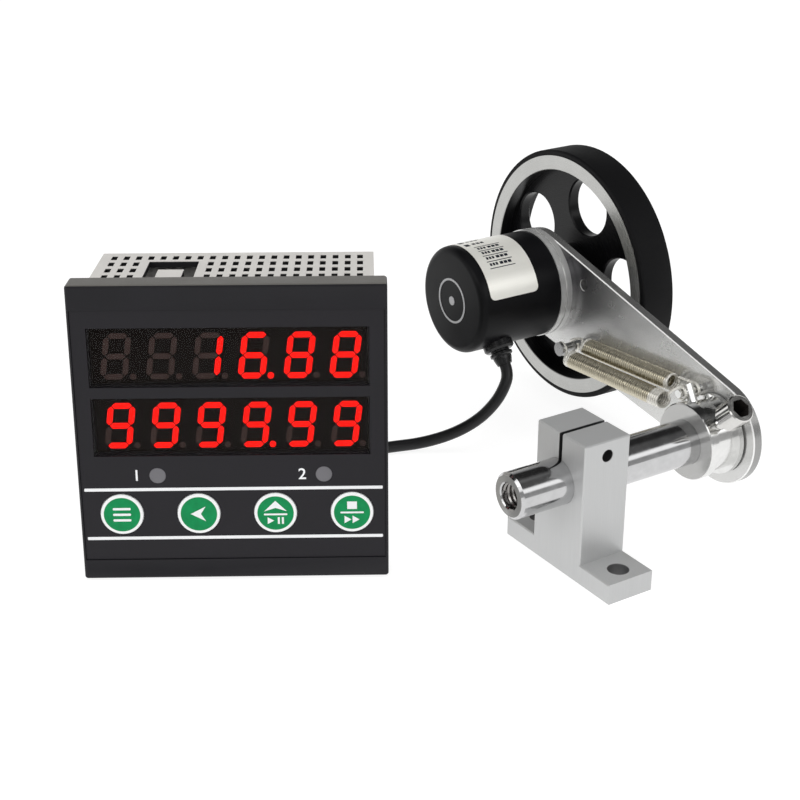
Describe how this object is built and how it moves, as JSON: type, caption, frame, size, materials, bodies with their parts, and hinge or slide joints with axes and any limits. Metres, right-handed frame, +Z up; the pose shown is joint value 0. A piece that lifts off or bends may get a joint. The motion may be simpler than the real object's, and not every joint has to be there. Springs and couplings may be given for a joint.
{
  "type": "cable length counter",
  "caption": "Panel counter with two digit rows and four keys, wired to a sprung arm that carries a rimmed measuring wheel and its shaft encoder on a clamped rod.",
  "frame": {"origin": "centre of the object's box on the surface that it stands on, measured without the free lead", "axes": "+Z up, the counter's face looks towards -Y and a little up, the bracket stands at +X"},
  "size_m": [0.1724, 0.1534, 0.0805],
  "materials": {
    "charcoal_plastic": "fine satin",
    "smoked_window": "polished",
    "red_segment": "lit",
    "dark_segment": "unlit",
    "grey_lens": "clear",
    "green_board": "solder mask",
    "black_plastic": "moulded",
    "green_key": "smooth",
    "grey_housing": "moulded",
    "terminal_green": "moulded",
    "steel": "machined",
    "bright_steel": "polished",
    "satin_aluminium": "milled",
    "polished_aluminium": "polished",
    "black_aluminium": "black anodised",
    "spring_wire": "nickel plated",
    "tyre_rubber": "matt",
    "cable_jacket": "smooth",
    "brass_pin": "plain",
    "transformer_core": "varnished",
    "silver_label": "printed foil",
    "bush_plastic": "moulded"
  },
  "bodies": {
    "counter_and_bracket": {"bezel_frame": "charcoal_plastic", "face_panel": "charcoal_plastic", "upper_window": "smoked_window", "lower_window": "smoked_window", "upper_digit_module": "black_plastic", "lower_digit_module": "black_plastic", "lit_segments": "red_segment", "unlit_segments": "dark_segment", "alarm_lights": "grey_lens", "display_board": "green_board", "key_switches": "black_plastic", "perforated_housing": "grey_housing", "rear_cover": "grey_housing", "lower_terminal_block": "terminal_green", "upper_terminal_block": "terminal_green", "terminal_screws": "steel", "main_board": "green_board", "transformer": "transformer_core", "output_relays": "black_plastic", "capacitors": "black_plastic", "link_pins": "brass_pin", "support_block": "satin_aluminium", "support_clamp_screw": "steel", "support_shaft": "steel", "pivot_hub": "bright_steel", "hub_lock_screw": "bright_steel", "spring_anchor": "bright_steel", "retaining_washer": "steel", "retaining_ring": "steel", "front_spring": "spring_wire", "rear_spring": "spring_wire", "lead_coil": "cable_jacket", "encoder_lead": "cable_jacket", "lead_tail": "cable_jacket", "lead_cores": "cable_jacket"},
    "arm": {"arm_plate": "polished_aluminium", "pivot_bush": "bush_plastic", "spring_post": "bright_steel", "post_nut": "steel", "encoder_flange": "polished_aluminium", "flange_screws": "steel", "encoder_shell": "black_aluminium", "cap_mark": "silver_label", "encoder_label": "silver_label", "lead_boot": "cable_jacket", "encoder_board": "green_board", "disc_reader": "black_plastic", "bearing_outer_rings": "steel", "bearing_balls": "steel"},
    "wheel": {"encoder_shaft": "steel", "bearing_inner_rings": "steel", "code_disc": "steel", "wheel_disc": "satin_aluminium", "wheel_tyre": "tyre_rubber", "wheel_set_screw": "steel"},
    "set_key_body": {"set_key": "green_key"},
    "shift_key_body": {"shift_key": "green_key"},
    "up_key_body": {"up_key": "green_key"},
    "reset_key_body": {"reset_key": "green_key"}
  },
  "joints": [
    {"name": "arm_swing", "type": "hinge", "parent": "counter_and_bracket", "child": "arm", "pos_m": [0.07741, -0.03048, 0.025], "axis": [0.8443, 0.5358, 0], "range_deg": [-3.5, 25], "stiffness_Nm_per_rad": 0.15, "springref_deg": 31.51, "deforming": ["front_spring", "rear_spring", "encoder_lead"]},
    {"name": "wheel_spin", "type": "hinge", "parent": "arm", "child": "wheel", "pos_m": [0.04102, 0.03936, 0.04297], "axis": [0.8443, 0.5358, 0], "continuous": true},
    {"name": "set_key_press", "type": "slide", "parent": "counter_and_bracket", "child": "set_key_body", "axis": [-0.0226, 0.9961, -0.0854], "range_m": [0, 0.0004], "stiffness_N_per_m": 400},
    {"name": "shift_key_press", "type": "slide", "parent": "counter_and_bracket", "child": "shift_key_body", "axis": [-0.0226, 0.9961, -0.0854], "range_m": [0, 0.0004], "stiffness_N_per_m": 400},
    {"name": "up_key_press", "type": "slide", "parent": "counter_and_bracket", "child": "up_key_body", "axis": [-0.0226, 0.9961, -0.0854], "range_m": [0, 0.0004], "stiffness_N_per_m": 400},
    {"name": "reset_key_press", "type": "slide", "parent": "counter_and_bracket", "child": "reset_key_body", "axis": [-0.0226, 0.9961, -0.0854], "range_m": [0, 0.0004], "stiffness_N_per_m": 400}
  ]
}
